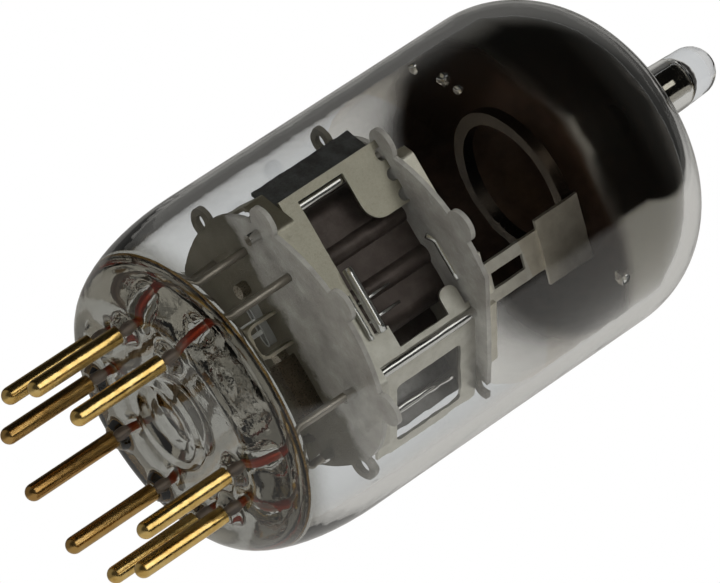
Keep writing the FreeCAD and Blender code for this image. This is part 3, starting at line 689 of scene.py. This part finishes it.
# ---------------------------------------------------------------- stage, lights, camera
world = bpy.data.worlds.new("studio")
bpy.context.scene.world = world
world.use_nodes = True
wt = world.node_tree
wt.nodes.clear()
back = node(wt, "ShaderNodeBackground")
wout = node(wt, "ShaderNodeOutputWorld")
link(wt, back.outputs["Background"], wout.inputs["Surface"])

SEEN_FROM = Vector((-0.1267, -0.8883, -0.4414)).normalized()
BEHIND_GLASS = 0.5
INSIDE_BULB = 3.5
PANE_LEVEL = 1.3
DARK_ROOM = 0.006
# soft edges of each window pane, as an axis, where it is dark and where it is bright
PANES = ((("Z", 0.10, 0.16), ("Z", 0.478, 0.462), ("X", -0.46, -0.38), ("X", 0.06, 0.0)),
         (("Z", 0.10, 0.14), ("Z", 0.36, 0.32), ("X", -0.1, -0.04), ("X", 0.36, 0.3)))
PANES_FACE = ("Y", -0.2, -0.4)


def dot_with(direction, vector):
    dot = node(wt, "ShaderNodeVectorMath", operation="DOT_PRODUCT")
    link(wt, direction, dot.inputs[0])
    dot.inputs[1].default_value = Vector(vector).normalized()
    return dot.outputs["Value"]


def within(parts, level, edges):
    """A level inside soft edges and nothing outside them."""
    for axis, dark, bright in edges:
        edge = remap(wt, parts[axis], dark, bright, 0.0, 1.0, True)
        level = math_node(wt, "MULTIPLY", edge, level)
    return level


def mirrored_studio(direction):
    """What mirrors see: a dark room with a pale wall to the right, a glow behind, a pale floor,
    and two window panes that only the pieces inside the bulb mirror."""
    parts = axes(wt, direction)
    depth = node(wt, "ShaderNodeLightPath").outputs["Transmission Depth"]
    wall = remap(wt, dot_with(direction, (1.0, 0.6, -0.6)), 0.0, 0.06, 0.0, 1.0, True)
    wall = math_node(wt, "MULTIPLY", wall, remap(wt, parts["X"], -0.1, 0.3, 0.16, 0.50))
    glow = remap(wt, dot_with(direction, (-0.296, 0.813, 0.5)), 0.743, 0.978, 0.0, 0.09, True)
    ceiling = remap(wt, parts["Z"], 0.72, 0.99, 0.0, 0.022, True)
    ground = remap(wt, parts["Z"], 0.02, -0.15, 0.0, 0.22, True)
    near = remap(wt, dot_with(direction, SEEN_FROM), 0.35, 0.75, 1.0, 0.2, True)
    total = math_node(wt, "ADD", math_node(wt, "ADD", wall, glow), ceiling)
    total = math_node(wt, "MAXIMUM", total, math_node(wt, "MULTIPLY", ground, near))
    pane = math_node(wt, "MAXIMUM", *(within(parts, PANE_LEVEL, edges) for edges in PANES))
    pane = within(parts, pane, (PANES_FACE,))
    pane = math_node(wt, "MULTIPLY", pane, math_node(wt, "GREATER_THAN", depth, INSIDE_BULB))
    total = math_node(wt, "ADD", math_node(wt, "MAXIMUM", total, pane), DARK_ROOM)
    total = mix_colour(wt, 1.0, total, (1.0, 0.98, 0.93), "MULTIPLY")
    murk = math_node(wt, "MULTIPLY", remap(wt, parts["Z"], 0.42, 0.28, 0.0, 1.0, True),
                     math_node(wt, "GREATER_THAN", depth, BEHIND_GLASS))
    return mix_colour(wt, murk, total, (0.15, 0.13, 0.085), "LIGHTEN")


def world_colour():
    """Pale to look at, greyer through glass, soft for matt surfaces, and a dark studio in mirrors."""
    coords = node(wt, "ShaderNodeTexCoord")
    norm = node(wt, "ShaderNodeVectorMath", operation="NORMALIZE")
    link(wt, coords.outputs["Generated"], norm.inputs[0])
    path = node(wt, "ShaderNodeLightPath")
    mirrored = math_node(wt, "GREATER_THAN", path.outputs["Glossy Depth"], 0.5)
    matt = math_node(wt, "GREATER_THAN", path.outputs["Diffuse Depth"], 0.5)
    colour = mix_colour(wt, path.outputs["Is Camera Ray"], (0.62, 0.63, 0.64), (1.0, 1.0, 1.0))
    colour = mix_colour(wt, mirrored, colour, mirrored_studio(norm.outputs["Vector"]))
    return mix_colour(wt, matt, colour, (0.35, 0.35, 0.36))


link(wt, world_colour(), back.inputs["Color"])
back.inputs["Strength"].default_value = 1.0


def make_floor():
    """Pale floor that fades out far off and isn't there from below or in mirrors."""
    bm = bmesh.new()
    size = 1.5
    vs = [bm.verts.new((x * size, y * size, 0.0)) for x, y in ((-1, -1), (1, -1), (1, 1), (-1, 1))]
    bm.faces.new(vs)
    obj = finish_mesh("floor", bm, False)
    mat, t = new_material("floor")
    p = position(t)
    grain = noise_tex(t, p, 0.02, 3.0)
    col = mix_colour(t, grain, (0.80, 0.80, 0.79), (0.84, 0.84, 0.83))
    s = principled(t, Base_Color=col, Roughness=0.7, Emission_Color=(1.0, 1.0, 1.0),
                   Emission_Strength=0.3)
    reach = node(t, "ShaderNodeVectorMath", operation="LENGTH")
    link(t, p, reach.inputs[0])
    far = remap(t, reach.outputs["Value"], 350.0, 1400.0, 0.0, 1.0, True)
    geo = node(t, "ShaderNodeNewGeometry")
    path = node(t, "ShaderNodeLightPath")
    mirrored = math_node(t, "GREATER_THAN", path.outputs["Glossy Depth"], 0.5)
    hidden = math_node(t, "MAXIMUM", math_node(t, "MAXIMUM", geo.outputs["Backfacing"], mirrored), far)
    output(t, mix_shader(t, hidden, s.outputs["BSDF"], clear_shader(t)))
    obj.data.materials.append(mat)


make_floor()


def area_light(name, direction, distance, size, power):
    """Rectangular lamp that faces the middle of the tube."""
    data = bpy.data.lights.new(name, "AREA")
    data.shape = "RECTANGLE"
    data.size, data.size_y = size
    data.energy = power
    obj = bpy.data.objects.new(name, data)
    centre = mm(0, 0, 24)
    d = Vector(direction).normalized()
    obj.location = centre + d * distance
    obj.rotation_mode = "QUATERNION"
    obj.rotation_quaternion = d.to_track_quat("Z", "Y")
    bpy.context.scene.collection.objects.link(obj)
    return obj


key = area_light("key", direction=(-0.12, -0.97, 0.23), distance=0.30,
                 size=(0.26, 0.16), power=0.21)

# the lamp lights what stands behind the glass and leaves no image of itself on the glass
unlit = bpy.data.collections.new("unlit_by_key")
unlit.objects.link(envelope)
unlit.collection_objects[0].light_linking.link_state = "EXCLUDE"
key.light_linking.receiver_collection = unlit


def make_camera():
    """The photograph's camera, fitted to the ends and roots of the nine pins."""
    data = bpy.data.cameras.new("camera")
    data.lens = 268.3
    data.sensor_width = 36.0
    data.clip_start, data.clip_end = 0.01, 10.0
    cam = bpy.data.objects.new("camera", data)
    right = Vector((0.498, -0.4416, 0.746))
    right = (right - SEEN_FROM * right.dot(SEEN_FROM)).normalized()
    up = SEEN_FROM.cross(right)
    rot = Matrix((right, up, SEEN_FROM)).transposed().to_4x4()
    cam.matrix_world = Matrix.Translation(mm(-37.681, -263.791, -110.166)) @ rot
    bpy.context.scene.collection.objects.link(cam)
    bpy.context.scene.camera = cam


make_camera()
bpy.context.scene.view_settings.view_transform = "Standard"
